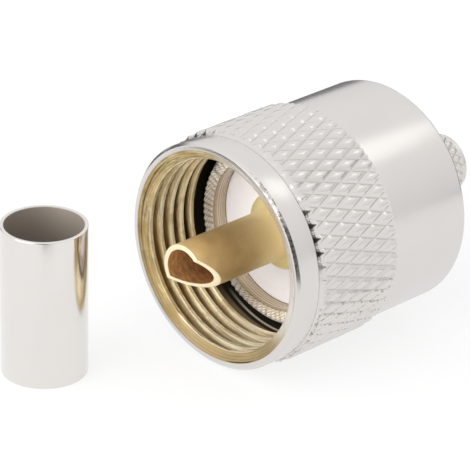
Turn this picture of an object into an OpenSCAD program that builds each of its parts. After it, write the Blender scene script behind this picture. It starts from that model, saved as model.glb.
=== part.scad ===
/* [Coupling nut] */
// Length of the nut
nut_len = 18; // [15:0.5:24]
// How far the nut's front face stands ahead of the mating plane
nut_lead = 5.8; // [4:0.1:7]
// Diameter of the smooth band at the front
band_d = 17.5; // [17.2:0.1:17.8]
// Length of the smooth front band
band_len = 2.1; // [1:0.1:3.5]
// Diameter over the points of the knurl
knurl_d = 18.1; // [18:0.1:19.5]
// Depth of the knurl's grooves
knurl_depth = 0.27; // [0.15:0.01:0.35]
// Length of the knurled band
knurl_len = 8; // [6:0.5:9]
// Number of grooves of each hand round the knurl
knurl_starts = 52; // [36:2:64]
// Diameter of the smooth rear part
rear_d = 17.4; // [17:0.1:17.6]
// Chamfer round the front face
rim_chamfer = 0.3; // [0.05:0.01:0.4]
// Rounding of the nut's rear edge
rear_edge_r = 0.35; // [0.1:0.05:0.8]

/* [Coupling thread] */
// Wall of the nut from the knurl's points down to the thread's roots
thread_wall = 1.1125; // [1:0.0125:1.25]
// Pitch, 24 turns to the inch
thread_pitch = 1.058; // [0.9:0.001:1.2]
// Number of full grooves in the nut
thread_turns = 4; // [3:1:4]
// How far the mouth's countersink stands outside the thread's roots
mouth_flare = 0.26; // [0.08:0.02:0.3]
// Depth of the relief behind the thread, under the roots
relief_depth = 0.21; // [0.1:0.01:0.3]

/* [Plug body] */
// Radial clearance of the flange inside the thread's crests
flange_gap = 0.09; // [0.05:0.01:0.25]
// Step from the flange's edge in to the serrated nose ring
ring_step = 0.425; // [0.2:0.025:0.7]
// Wall of the nose ring
ring_wall = 0.85; // [0.7:0.05:1.2]
// How far the ring stands out of the flange
ring_rise = 0.3; // [0.2:0.05:0.8]
// Number of serrations round the ring's face
serrations = 84; // [48:12:96]
// Depth of a serration
serration_depth = 0.15; // [0.08:0.01:0.2]
// Height of the two raised arcs on the ring
tab_rise = 0.25; // [0.15:0.05:0.5]
// Angle that one raised arc covers
tab_deg = 60; // [40:5:80]
// Thickness of the flange
flange_len = 2.6; // [1.8:0.1:3.5]
// How far the flange stands out over the shank that the nut turns on
flange_reach = 1.075; // [0.9:0.025:1.3]
// How far the shank reaches out behind the nut
shank_out = 0.8; // [0.4:0.1:2]

/* [Crimp barrel] */
// Diameter over the points of the barrel's knurl
barrel_d = 5; // [4.6:0.1:5.4]
// Length of the barrel behind the shank
barrel_len = 6.5; // [5:0.1:10]
// Depth of the barrel's grooves
barrel_depth = 0.16; // [0.1:0.01:0.2]
// Number of grooves of each hand round the barrel
barrel_starts = 22; // [16:2:28]
// Length of the plain neck before the knurl
neck_len = 0.9; // [0.5:0.1:1.5]
// Bore for the cable's dielectric
cable_bore_d = 3.2; // [2.4:0.1:3.4]

/* [Contact pin] */
// Diameter of the pin
pin_d = 3.96; // [3.8:0.01:4.1]
// Reach of the pin ahead of the mating plane
pin_len = 8.95; // [8:0.05:10]
// Diameter of the hollow in the pin
pin_bore_d = 3.16; // [2.6:0.02:3.3]
// Diameter of the contact's stem inside the insulator
stem_d = 4.4; // [4.2:0.1:5]
// Diameter of the hole for the cable's conductor
wire_bore_d = 1.6; // [1:0.1:2]
// Diameter of the disc at the pin's foot
disc_d = 6; // [5:0.1:7]
// Thickness of that disc
disc_len = 0.4; // [0.3:0.05:0.8]
// Angle between the pin's axis and the slanted cut at its tip
tip_cut_deg = 42; // [35:1:60]
// Which way the slanted cut faces, from +X towards +Z
tip_cut_turn = -50; // [-180:5:180]

/* [Insulator] */
// Depth of the insulator's face behind the mating plane
face_depth = 1.3; // [0.9:0.1:1.8]
// Length of the insulator
insulator_len = 5.2; // [4:0.1:6.5]
// Step from the insulator's head in to its narrow rear part
insulator_step = 1.2; // [1:0.1:1.6]

/* [Crimp ferrule] */
// Outside diameter of the ferrule
ferrule_od = 6.5; // [6.2:0.1:7]
// Inside diameter of the ferrule
ferrule_id = 5.9; // [5.6:0.05:6]
// Length of the ferrule
ferrule_len = 11.9; // [10:0.1:14]
// Where the loose ferrule stands, across the plug's axis
ferrule_x = -8.1; // [-14:0.1:-8]
// Where the loose ferrule stands, along the plug's axis
ferrule_y = -15.2; // [-20:0.1:-12]

/* [Fits] */
// Radial clearance of the nut on the shank
running_gap = 0.1; // [0.05:0.01:0.15]
// Clearance between the flange and the nut's shoulder
shoulder_gap = 0.2; // [0.1:0.05:0.4]
// Radial clearance of pressed pieces
press_gap = 0.02; // [0.01:0.01:0.05]

/* [Hidden] */
$fn = 96;
nickel = "#c9c6c0";
brass = "#b9985a";
ptfe = "#f1eff2";

// The mating plane is Y = 0, the cable's end is +Y
nut_front = -nut_lead;
nut_rear = nut_front + nut_len;
knurl_front = nut_front + band_len;
knurl_row = 1.333;
knurl_rows = max(2, round(knurl_len / knurl_row));
buried = 0.4;
core_gap = 0.06;

// A 60 degree thread, its crests a quarter and its roots an eighth of the pitch wide
thread_d = knurl_d - 2 * thread_wall;
thread_depth = 0.625 * thread_pitch * cos(30);
crest_r = thread_d / 2 - thread_depth;
root_r = thread_d / 2;
crest_w = thread_pitch / 4;
root_w = thread_pitch / 8;
flank_w = (thread_pitch - crest_w - root_w) / 2;
mouth_d = thread_d + 2 * mouth_flare;
relief_d = thread_d + 2 * relief_depth;
mouth_w = mouth_d / 2 - crest_r;
thread_front = nut_front + mouth_w;
thread_rear = thread_front + thread_turns * thread_pitch;

flange_d = 2 * (crest_r - flange_gap);
ring_outer_d = flange_d - 2 * ring_step;
ring_inner_d = ring_outer_d - 2 * ring_wall;
shank_d = flange_d - 2 * flange_reach;
flange_rear = ring_rise + flange_len;
shoulder_y = flange_rear + shoulder_gap;
shank_rear = nut_rear + shank_out;
shank_chamfer = 0.4;
flange_chamfer = 0.1;
barrel_rear = shank_rear + barrel_len;
barrel_core_r = barrel_d / 2 - barrel_depth - core_gap;
barrel_row = 0.7;
barrel_end_len = 0.5;
barrel_knurl_len = barrel_len - neck_len - barrel_end_len;
barrel_rows = max(2, round(barrel_knurl_len / barrel_row));

head_rear = (face_depth + flange_rear) / 2;
insulator_rear = face_depth + insulator_len;
insulator_neck_d = ring_inner_d - 2 * insulator_step;
lip_step = 0.35;
lip_d = stem_d + 2 * lip_step;
lip_len = 0.5;
tail_len = 0.9;
contact_rear = insulator_rear + lip_len + tail_len;
lip_gap = 0.65;
cavity_d = lip_d + 2 * lip_gap;
cavity_gap = 1;
cavity_rear = contact_rear + cavity_gap;
tip_y = -pin_len;
tip_flat = 0.15;
hollow_depth = 1.5;
hollow_rear = face_depth + hollow_depth;

rest_z = -knurl_d / 2;
bore_chamfer = 0.3;
tube_chamfer = 0.08;

// Points of a quarter round from one side of a corner to the other
function round_corner(r, y, fillet) =
    [for (a = [0 : 30 : 90]) [r - fillet + fillet * cos(a), y - fillet + fillet * sin(a)]];

// One V groove of the thread, seen in the profile, from rear to front
function groove(y) = [
    [crest_r, y + thread_pitch - crest_w],
    [root_r, y + thread_pitch - crest_w - flank_w],
    [root_r, y + flank_w],
    [crest_r, y]
];

// Lathe work: a profile of [radius, Y] points, turned about the Y axis
module lathe(points) {
    rotate([-90, 0, 0]) rotate_extrude() polygon(points);
}

// A sleeve of pyramids: its rings take turns between groove crossings and points
module diamond_knurl(point_r, depth, length, starts, rows, inner_r) {
    n = 2 * starts;
    outer = [for (i = [0 : rows], j = [0 : n - 1])
        let (r = (i + j) % 2 == 0 ? point_r - depth : point_r, a = 360 * j / n)
        [r * cos(a), r * sin(a), length * i / rows]];
    inner = [for (i = [0 : 1], j = [0 : n - 1])
        let (a = 360 * j / n)
        [inner_r * cos(a), inner_r * sin(a), length * i]];
    first = len(outer);
    sides = [for (i = [0 : rows - 1], j = [0 : n - 1], half = [0 : 1])
        let (k = (j + 1) % n, a = i * n + j, b = i * n + k, c = b + n, d = a + n)
        (i + j) % 2 == 0
            ? (half == 0 ? [a, c, b] : [a, d, c])
            : (half == 0 ? [a, d, b] : [b, d, c])];
    wall = [for (j = [0 : n - 1])
        let (k = (j + 1) % n)
        [first + j, first + k, first + n + k, first + n + j]];
    front = [for (j = [0 : n - 1])
        let (k = (j + 1) % n)
        [j, k, first + k, first + j]];
    back = [for (j = [0 : n - 1])
        let (k = (j + 1) % n, top = rows * n)
        [top + k, top + j, first + n + j, first + n + k]];
    polyhedron(points = concat(outer, inner), faces = concat(sides, wall, front, back));
}

module knurl_band(front_y, point_r, depth, length, starts, rows) {
    translate([0, front_y, 0]) rotate([-90, 0, 0])
        diamond_knurl(point_r, depth, length, starts, rows, point_r - depth - buried);
}

module coupling_nut() {
    core_r = knurl_d / 2 - knurl_depth - core_gap;
    bore_r = shank_d / 2 + running_gap;
    outside = concat(
        [
            [mouth_d / 2, nut_front],
            [band_d / 2 - rim_chamfer, nut_front],
            [band_d / 2, nut_front + rim_chamfer],
            [band_d / 2, knurl_front],
            [core_r, knurl_front],
            [core_r, knurl_front + knurl_len],
            [rear_d / 2, knurl_front + knurl_len]
        ],
        round_corner(rear_d / 2, nut_rear, rear_edge_r)
    );
    inside = [
        [bore_r + bore_chamfer, nut_rear],
        [bore_r, nut_rear - bore_chamfer],
        [bore_r, shoulder_y],
        [relief_d / 2, shoulder_y],
        [relief_d / 2, thread_rear],
        [crest_r, thread_rear]
    ];
    thread = [for (i = [thread_turns - 1 : -1 : 0]) each groove(thread_front + i * thread_pitch)];
    color(nickel) {
        lathe(concat(outside, inside, thread));
        knurl_band(knurl_front, knurl_d / 2, knurl_depth, knurl_len, knurl_starts, knurl_rows);
    }
}

// The body's lathe profile, outside from front to rear and inside back again
module body_blank() {
    lathe([
        [ring_outer_d / 2, -tab_rise],
        [ring_outer_d / 2, ring_rise],
        [flange_d / 2 - flange_chamfer, ring_rise],
        [flange_d / 2, ring_rise + flange_chamfer],
        [flange_d / 2, flange_rear],
        [shank_d / 2, flange_rear],
        [shank_d / 2, shank_rear - shank_chamfer],
        [shank_d / 2 - shank_chamfer, shank_rear],
        [barrel_core_r, shank_rear],
        [barrel_core_r, barrel_rear - tube_chamfer],
        [barrel_core_r - tube_chamfer, barrel_rear],
        [cable_bore_d / 2 + tube_chamfer, barrel_rear],
        [cable_bore_d / 2, barrel_rear - tube_chamfer],
        [cable_bore_d / 2, cavity_rear],
        [cavity_d / 2, cavity_rear],
        [cavity_d / 2, insulator_rear],
        [insulator_neck_d / 2 + press_gap, insulator_rear],
        [insulator_neck_d / 2 + press_gap, head_rear],
        [ring_inner_d / 2, head_rear],
        [ring_inner_d / 2, -tab_rise]
    ]);
}

// What is cut from the ring's face, to leave two raised arcs that catch the socket's notches
module ring_gaps() {
    beyond = 0.5;
    for (side = [0, 180])
        rotate([-90, 0, 0]) rotate([0, 0, side + tab_deg / 2]) rotate_extrude(angle = 180 - tab_deg)
            translate([ring_inner_d / 2 - beyond, -tab_rise - beyond])
                square([(ring_outer_d - ring_inner_d) / 2 + 2 * beyond, tab_rise + beyond]);
}

// One radial V groove in the ring's face, as deep on the raised arcs as between them
module serration(turn) {
    on_tab = abs((turn + 90) % 180 - 90) < tab_deg / 2;
    wedge = serration_depth * sqrt(2);
    cut_len = ring_outer_d - ring_inner_d;
    rotate([0, turn, 0]) translate([(ring_outer_d + ring_inner_d) / 4, on_tab ? -tab_rise : 0, 0])
        rotate([45, 0, 0]) cube([cut_len, wedge, wedge], center = true);
}

module plug_body() {
    color(nickel) {
        difference() {
            body_blank();
            ring_gaps();
            for (k = [0 : serrations - 1]) serration((k + 0.5) * 360 / serrations);
        }
        knurl_band(shank_rear + neck_len, barrel_d / 2, barrel_depth, barrel_knurl_len,
            barrel_starts, barrel_rows);
    }
}

module insulator() {
    color(ptfe) lathe([
        [stem_d / 2 + press_gap, face_depth],
        [ring_inner_d / 2 - press_gap, face_depth],
        [ring_inner_d / 2 - press_gap, head_rear],
        [insulator_neck_d / 2, head_rear],
        [insulator_neck_d / 2, insulator_rear],
        [stem_d / 2 + press_gap, insulator_rear]
    ]);
}

// Takes away the half of the tip that lies beyond a plane through the end of the pin's axis
module tip_cut() {
    reach = pin_len;
    rotate([0, -tip_cut_turn, 0]) translate([0, tip_y + tip_flat, 0]) rotate([0, 0, 90 - tip_cut_deg])
        translate([-reach, -reach, -reach]) cube([2 * reach, reach, 2 * reach]);
}

module centre_contact() {
    color(brass) difference() {
        lathe([
            [pin_bore_d / 2, tip_y],
            [pin_d / 2, tip_y],
            [pin_d / 2, face_depth - disc_len],
            [disc_d / 2, face_depth - disc_len],
            [disc_d / 2, face_depth],
            [stem_d / 2, face_depth],
            [stem_d / 2, insulator_rear],
            [lip_d / 2, insulator_rear],
            [lip_d / 2, insulator_rear + lip_len],
            [stem_d / 2, insulator_rear + lip_len],
            [stem_d / 2, contact_rear],
            [wire_bore_d / 2, contact_rear],
            [wire_bore_d / 2, hollow_rear],
            [pin_bore_d / 2, hollow_rear]
        ]);
        tip_cut();
    }
}

module crimp_ferrule() {
    color(nickel) translate([ferrule_x, ferrule_y, rest_z]) rotate_extrude() polygon([
        [ferrule_id / 2, tube_chamfer],
        [ferrule_id / 2 + tube_chamfer, 0],
        [ferrule_od / 2 - tube_chamfer, 0],
        [ferrule_od / 2, tube_chamfer],
        [ferrule_od / 2, ferrule_len - tube_chamfer],
        [ferrule_od / 2 - tube_chamfer, ferrule_len],
        [ferrule_id / 2 + tube_chamfer, ferrule_len],
        [ferrule_id / 2, ferrule_len - tube_chamfer]
    ]);
}

coupling_nut();
plug_body();
insulator();
centre_contact();
crimp_ferrule();
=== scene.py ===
import math

import bmesh
import bpy
from bpy.props import FloatProperty, FloatVectorProperty, IntProperty, PointerProperty
from mathutils import Matrix, Vector


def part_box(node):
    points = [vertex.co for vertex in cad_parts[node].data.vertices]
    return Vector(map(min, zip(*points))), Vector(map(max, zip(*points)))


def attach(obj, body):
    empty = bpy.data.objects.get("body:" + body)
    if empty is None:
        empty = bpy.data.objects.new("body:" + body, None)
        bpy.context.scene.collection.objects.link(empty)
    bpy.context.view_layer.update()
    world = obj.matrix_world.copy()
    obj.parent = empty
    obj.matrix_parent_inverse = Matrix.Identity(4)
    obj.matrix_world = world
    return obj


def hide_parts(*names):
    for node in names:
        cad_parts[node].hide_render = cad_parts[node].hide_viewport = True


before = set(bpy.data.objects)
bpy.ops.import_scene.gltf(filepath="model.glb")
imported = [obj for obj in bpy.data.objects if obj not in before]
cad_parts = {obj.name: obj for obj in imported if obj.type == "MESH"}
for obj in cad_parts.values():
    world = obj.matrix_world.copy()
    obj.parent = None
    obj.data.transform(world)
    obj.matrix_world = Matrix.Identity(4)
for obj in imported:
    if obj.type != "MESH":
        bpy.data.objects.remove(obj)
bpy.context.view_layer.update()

bl_info = {
    "name": "Coaxial crimp plug",
    "version": (1, 0, 0),
    "blender": (4, 5, 0),
    "location": "3D View > Sidebar > Crimp plug",
    "description": "Builds a screw-on coaxial plug with its loose crimp ferrule, its finishes and a studio",
    "category": "Object",
}

MM = 0.001
TURN = 2 * math.pi
TABLE_Z = min(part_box("coupling_nut")[0].z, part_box("crimp_ferrule")[0].z)


def length(label, about, default):
    """A size in metres, given in millimetres."""
    return FloatProperty(name=label, description=about, default=default * MM, min=0, precision=6, unit="LENGTH")


def place(label, about, default):
    """A place along an axis in metres, given in millimetres."""
    return FloatProperty(name=label, description=about, default=default * MM, precision=6, unit="LENGTH")


def colour(label, about, default):
    return FloatVectorProperty(
        name=label, description=about, default=default, size=3, min=0, max=1, subtype="COLOR"
    )


# Sizes and colours

class NutSizes(bpy.types.PropertyGroup):
    front: place("Front", "Y of the nut's front face", -5.8)
    rear: place("Rear", "Y of the nut's rear face", 12.2)
    band_r: length("Band radius", "Smooth band at the front", 8.75)
    band_len: length("Band length", "Smooth band at the front", 2.1)
    rim_chamfer: length("Rim chamfer", "Chamfer round the front face", 0.22)
    knurl_r: length("Knurl radius", "Over the points of the knurl", 9.05)
    knurl_len: length("Knurl length", "Length of the knurled band", 8.0)
    knurl_depth: length("Knurl depth", "Depth of the grooves", 0.2)
    knurl_starts: IntProperty(name="Knurl starts", description="Grooves of each hand", default=52, min=12)
    knurl_rows: IntProperty(name="Knurl rows", description="Mesh rows along the knurl", default=33, min=6)
    groove_share: FloatProperty(
        name="Groove share", description="Half a groove's width, as a share of the pitch", default=0.42, min=0.05, max=0.5
    )
    rear_r: length("Rear radius", "Smooth rear part", 8.7)
    rear_round: length("Rear rounding", "Rounding of the rear edge", 0.35)
    bore_r: length("Bore radius", "Bore that turns on the shank", 6.3)
    shoulder: place("Shoulder", "Y of the inner shoulder", 3.1)
    relief_r: length("Relief radius", "Relief behind the thread", 8.1475)
    pitch: length("Thread pitch", "24 turns to the inch", 1.058)
    crest_r: length("Crest radius", "Crests of the internal thread", 7.365)
    root_r: length("Root radius", "Roots of the internal thread", 7.9375)
    mouth_r: length("Mouth radius", "Countersink at the mouth", 8.1975)
    thread_rear: place("Thread's end", "Y where the thread runs out into the relief", -0.7355)


class BodySizes(bpy.types.PropertyGroup):
    ring_outer_r: length("Ring outside", "Outside radius of the nose ring", 6.85)
    ring_inner_r: length("Ring inside", "Inside radius of the nose ring", 6.0)
    ring_rise: length("Ring rise", "Ring above the flange", 0.3)
    teeth: IntProperty(name="Serrations", description="Serrations round the ring's face", default=84, min=12)
    tooth_depth: length("Serration depth", "Depth of a serration", 0.15)
    tab_rise: length("Arc rise", "Height of the two raised arcs", 0.25)
    tab_angle: FloatProperty(name="Arc angle", description="Angle that a raised arc covers", default=math.radians(60), subtype="ANGLE")
    flange_r: length("Flange radius", "Flange that pulls the nut's shoulder", 7.275)
    flange_rear: place("Flange rear", "Y of the flange's rear face", 2.9)
    shank_r: length("Shank radius", "Shank that the nut turns on", 6.2)
    shank_rear: place("Shank rear", "Y of the shank's rear face", 13.0)
    head_rear: place("Seat", "Y of the insulator's seat", 2.1)
    neck_bore_r: length("Neck bore", "Bore for the insulator's narrow part", 4.82)
    insulator_rear: place("Insulator rear", "Y where that bore ends", 6.5)
    cavity_r: length("Cavity radius", "Room behind the insulator", 3.2)
    cavity_rear: place("Cavity rear", "Y where that room ends", 8.9)
    barrel_r: length("Barrel radius", "Over the points of the barrel's knurl", 2.5)
    barrel_rear: place("Barrel rear", "Y of the barrel's end", 19.5)
    barrel_bore_r: length("Barrel bore", "Bore for the cable's dielectric", 1.6)
    barrel_depth: length("Barrel knurl depth", "Depth of the barrel's grooves", 0.16)
    barrel_starts: IntProperty(name="Barrel starts", description="Grooves of each hand", default=22, min=8)


class ContactSizes(bpy.types.PropertyGroup):
    pin_r: length("Pin radius", "Outside radius of the pin", 1.98)
    bore_r: length("Pin hollow", "Radius of the hollow", 1.58)
    tip: place("Tip", "Y of the pin's tip", -8.95)
    tip_flat: length("Tip flat", "Where the slanted cut meets the axis, behind the tip", 0.15)
    cut_angle: FloatProperty(name="Cut angle", description="Slanted cut to the axis", default=math.radians(42), subtype="ANGLE")
    cut_turn: FloatProperty(name="Cut turn", description="Way the cut faces", default=math.radians(-50), subtype="ANGLE")
    face: place("Insulator face", "Y of the insulator's face", 1.3)
    disc_r: length("Disc radius", "Disc at the pin's foot", 3.0)
    disc_len: length("Disc thickness", "Disc at the pin's foot", 0.4)
    hollow_rear: place("Hollow's end", "Y of the hollow's floor", 2.8)
    wire_r: length("Wire hole", "Radius of the hole for the conductor", 0.8)
    stem_r: length("Stem radius", "Stem inside the insulator", 2.2)
    lip_r: length("Lip radius", "Lip that holds the contact in the insulator", 2.55)
    lip_len: length("Lip length", "Lip that holds the contact in the insulator", 0.5)
    rear: place("Contact rear", "Y of the contact's end", 7.9)
    head_r: length("Insulator radius", "Radius of the insulator's head", 5.98)
    neck_r: length("Insulator neck", "Radius of its narrow part", 4.8)
    hole_r: length("Insulator hole", "Hole for the contact", 2.22)


class FerruleSizes(bpy.types.PropertyGroup):
    outer_r: length("Outside", "Outside radius", 3.25)
    inner_r: length("Inside", "Inside radius", 2.95)
    height: length("Height", "Length of the tube", 11.9)
    x: place("X", "Where it stands", -8.1)
    y: place("Y", "Where it stands", -15.2)
    edge: length("Edge", "Rounding of the rims", 0.08)


class FinishColours(bpy.types.PropertyGroup):
    nickel: colour("Nickel", "Plating of the nut", (0.72, 0.695, 0.672))
    body_nickel: colour("Body nickel", "Plating of the body", (0.72, 0.69, 0.655))
    gold: colour("Gold tint", "Thin plating inside the thread", (0.86, 0.72, 0.40))
    old_gold: colour("Old gold", "Darker patches of that plating", (0.60, 0.43, 0.18))
    # Tarnish, and also the colour of painted shade in the thread's valleys, in the nose ring's serrations and bore and
    # at the knurl's front end, and of painted dark reflections there.
    tarnish_and_shade: colour("Tarnish", "Low places of the thread and the nose ring", (0.35, 0.26, 0.14))
    brass: colour("Brass", "Contact pin", (0.72, 0.52, 0.24))
    old_brass: colour("Old brass", "Browner patches of the pin", (0.62, 0.41, 0.18))
    bare_rim: colour("Bare rim", "Cut rim of the pin", (0.96, 0.86, 0.60))
    # Painted light: brighter brass on the pin's foot and disc, deep in the mouth.
    lit_foot_brass: colour("Bare brass", "Foot and disc of the pin", (1.0, 0.86, 0.46))
    copper: colour("Copper", "Inside of the pin", (0.84, 0.44, 0.17))
    ptfe: colour("PTFE", "Insulator", (0.91, 0.885, 0.91))
    # Worn crests, and the colour of painted highlights on the thread's crests and lower side and of a painted highlight
    # line in the relief.
    crest_wear_and_highlight: colour("Bright crest", "Worn crests of the thread", (0.95, 0.87, 0.68))
    # Painted shade with some dirt: the black of the deep relief, and painted shade in the thread's valleys on the left
    # and under the rim's edge.
    grime_and_shade: colour("Grime", "Cutting dirt in the relief", (0.03, 0.026, 0.018))
    dark_plate: colour("Dark plate", "Thin plating inside the ferrule", (0.34, 0.295, 0.25))


class StageSizes(bpy.types.PropertyGroup):
    azimuth: FloatProperty(name="Azimuth", description="Way round the plug", default=math.radians(44.815), subtype="ANGLE")
    elevation: FloatProperty(name="Elevation", description="Above the table", default=math.radians(25.963), subtype="ANGLE")
    roll: FloatProperty(name="Roll", description="Camera's roll", default=math.radians(1.49), subtype="ANGLE")
    distance: length("Distance", "Camera to target", 230.0)
    focal_px: FloatProperty(name="Focal length", description="In pixels of a 470 pixel frame", default=3138.9, min=1)
    shift_x: place("Target right", "Target to the camera's right of the nut's front", 1.556)
    shift_z: place("Target up", "Target above the nut's front", 1.661)


# Turned shapes

def eased(points, radius, steps=3):
    """The profile with every corner rounded, as a lathe tool leaves it. A point may hold its own radius."""
    made = []
    count = len(points)
    for i, point in enumerate(points):
        ease = point[2] if len(point) > 2 else radius
        here = Vector(point[:2])
        before = Vector(points[i - 1][:2]) - here
        after = Vector(points[(i + 1) % count][:2]) - here
        turn = before.angle(-after, 0)
        if ease <= 0 or turn < math.radians(8):
            made.append(tuple(here))
            continue
        reach = min(ease * math.tan(turn / 2), 0.45 * before.length, 0.45 * after.length)
        a, b = here + before.normalized() * reach, here + after.normalized() * reach
        for k in range(steps + 1):
            t = k / steps
            spot = a * (1 - t) ** 2 + here * 2 * t * (1 - t) + b * t ** 2
            made.append(tuple(spot))
    return made


class Shell:
    """Vertices and faces of a turned piece, about the Y axis."""

    def __init__(self, columns):
        self.columns = columns
        self.verts, self.faces, self.marks = [], [], {}

    def vertex(self, r, y, column, mark=None):
        a = TURN * column / self.columns
        self.verts.append((r * math.cos(a), y, r * math.sin(a)))
        if mark:
            self.marks.setdefault(mark, set()).add(len(self.verts) - 1)
        return len(self.verts) - 1

    def ring(self, r, y, mark=None):
        """One ring. r and y may be functions of the angle."""
        made = []
        for j in range(self.columns):
            a = TURN * j / self.columns
            made.append(self.vertex(r(a) if callable(r) else r, y(a) if callable(y) else y, j, mark))
        return made

    def face(self, *corners):
        corner = [c for i, c in enumerate(corners) if c != corners[i - 1]]
        if len(set(corner)) == len(corner) > 2:
            self.faces.append(corner)

    def strip(self, a, b, slant=None):
        """Faces between two rings. slant(j) picks the diagonal of a split quad."""
        for j in range(self.columns):
            k = (j + 1) % self.columns
            if slant is None:
                self.face(a[j], a[k], b[k], b[j])
            elif slant(j):
                self.face(a[j], a[k], b[j])
                self.face(a[k], b[k], b[j])
            else:
                self.face(a[j], a[k], b[k])
                self.face(a[j], b[k], b[j])

    def mesh(self, name):
        mesh = bpy.data.meshes.new(name)
        mesh.from_pydata(self.verts, [], self.faces)
        for mark, members in self.marks.items():
            layer = mesh.attributes.new(mark, "BOOLEAN", "POINT")
            layer.data.foreach_set("value", [i in members for i in range(len(self.verts))])
        return mesh


def lathe(name, profile, columns=192):
    """A closed profile of (radius, y) points, turned about the Y axis."""
    shell = Shell(columns)
    rings = [shell.ring(r, y) for r, y in profile]
    for a, b in zip(rings, rings[1:] + rings[:1]):
        shell.strip(a, b)
    return shell.mesh(name)


def piece(name, mesh, crease=35):
    """An object at the origin with outward faces, smooth but for its sharp edges."""
    shape = bmesh.new()
    shape.from_mesh(mesh)
    bmesh.ops.recalc_face_normals(shape, faces=shape.faces)
    shape.to_mesh(mesh)
    shape.free()
    mesh.polygons.foreach_set("use_smooth", [True] * len(mesh.polygons))
    mesh.set_sharp_from_angle(angle=math.radians(crease))
    made = bpy.data.objects.new(name, mesh)
    bpy.context.scene.collection.objects.link(made)
    return made


def joined(name, meshes):
    """One mesh of several closed shells."""
    shape = bmesh.new()
    for mesh in meshes:
        shape.from_mesh(mesh)
    made = bpy.data.meshes.new(name)
    shape.to_mesh(made)
    shape.free()
    return made


# Node trees

def put(tree, socket, value):
    if isinstance(value, bpy.types.NodeSocket):
        tree.links.new(value, socket)
    elif value is not None:
        socket.default_value = value


def add(tree, kind, inputs=(), **settings):
    """A node with its settings and its inputs, by name or number."""
    made = tree.nodes.new(kind)
    for key, value in settings.items():
        setattr(made, key, value)
    for key, value in dict(inputs).items():
        put(tree, made.inputs[key], value)
    return made


def calc(tree, operation, *values, clamp=False):
    node = add(tree, "ShaderNodeMath", operation=operation, use_clamp=clamp)
    for socket, value in zip(node.inputs, values):
        put(tree, socket, value)
    return node.outputs[0]


def ramp(tree, value, low, high, to_low=0.0, to_high=1.0, kind="LINEAR"):
    """value from low..high to to_low..to_high, held at both ends."""
    node = add(tree, "ShaderNodeMapRange", interpolation_type=kind, clamp=True)
    for key, number in (("Value", value), ("From Min", low), ("From Max", high), ("To Min", to_low), ("To Max", to_high)):
        put(tree, node.inputs[key], number)
    return node.outputs["Result"]


def cutting_tree(name, inputs):
    """An empty tree for a cut in a turned blank, with its sockets."""
    tree = bpy.data.node_groups.new(name, "GeometryNodeTree")
    face = tree.interface
    face.new_socket("Blank", in_out="INPUT", socket_type="NodeSocketGeometry")
    for label, kind, value in inputs:
        socket = face.new_socket(label, in_out="INPUT", socket_type=kind)
        socket.default_value = value
    face.new_socket("Finish", in_out="INPUT", socket_type="NodeSocketMaterial")
    face.new_socket("Cut", in_out="OUTPUT", socket_type="NodeSocketGeometry")
    entry = tree.nodes.new("NodeGroupInput").outputs
    spot = add(tree, "ShaderNodeSeparateXYZ", {0: add(tree, "GeometryNodeInputPosition").outputs[0]}).outputs
    angle = calc(tree, "ARCTAN2", spot["Z"], spot["X"])
    return tree, entry, spot, angle


def close_tree(tree, entry, mark, offset):
    """Moves the marked points by offset, and ends the tree in plain geometry with its finish."""
    marked = add(tree, "GeometryNodeInputNamedAttribute", {"Name": mark}, data_type="BOOLEAN").outputs["Attribute"]
    moved = add(tree, "GeometryNodeSetPosition", {"Geometry": entry["Blank"], "Selection": marked, "Offset": offset})
    real = add(tree, "GeometryNodeRealizeInstances", {0: moved.outputs[0]})
    dressed = add(tree, "GeometryNodeSetMaterial", {"Geometry": real.outputs[0], "Material": entry["Finish"]})
    tree.links.new(dressed.outputs[0], tree.nodes.new("NodeGroupOutput").inputs[0])
    return tree


def outward(tree, spot, distance):
    """A vector away from the Y axis, distance long."""
    flat = add(tree, "ShaderNodeCombineXYZ", {"X": spot["X"], "Z": spot["Z"]}).outputs[0]
    way = add(tree, "ShaderNodeVectorMath", {0: flat}, operation="NORMALIZE").outputs[0]
    return add(tree, "ShaderNodeVectorMath", {0: way, "Scale": distance}, operation="SCALE").outputs[0]


def diamond_knurl_tree():
    """Crossing V grooves of both hands, which leave crowned diamonds."""
    tree, entry, spot, angle = cutting_tree("diamond_knurl", [
        ("Starts", "NodeSocketInt", 52),
        ("Axial pitch", "NodeSocketFloat", 2.9 * MM),
        ("Front", "NodeSocketFloat", 0.0),
        ("Depth", "NodeSocketFloat", 0.27 * MM),
        ("Groove share", "NodeSocketFloat", 0.25),
        ("Point radius", "NodeSocketFloat", 9.05 * MM),
        ("Start radius", "NodeSocketFloat", 8.75 * MM),
    ])
    round_way = calc(tree, "DIVIDE", calc(tree, "MULTIPLY", angle, entry["Starts"]), TURN)
    along = calc(tree, "DIVIDE", calc(tree, "SUBTRACT", spot["Y"], entry["Front"]), entry["Axial pitch"])
    near = [calc(tree, "PINGPONG", calc(tree, way, round_way, along), 0.5) for way in ("ADD", "SUBTRACT")]
    rise = calc(tree, "SINE", ramp(tree, calc(tree, "MINIMUM", *near), 0.0, entry["Groove share"], 0.0, math.pi / 2))
    sink = calc(tree, "MULTIPLY", calc(tree, "SUBTRACT", rise, 1.0), entry["Depth"])
    chamfer = calc(tree, "ADD", entry["Start radius"], calc(tree, "SUBTRACT", spot["Y"], entry["Front"]))
    held = calc(tree, "MINIMUM", sink, calc(tree, "SUBTRACT", chamfer, entry["Point radius"]))
    return close_tree(tree, entry, "knurl", outward(tree, spot, held))


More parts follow.
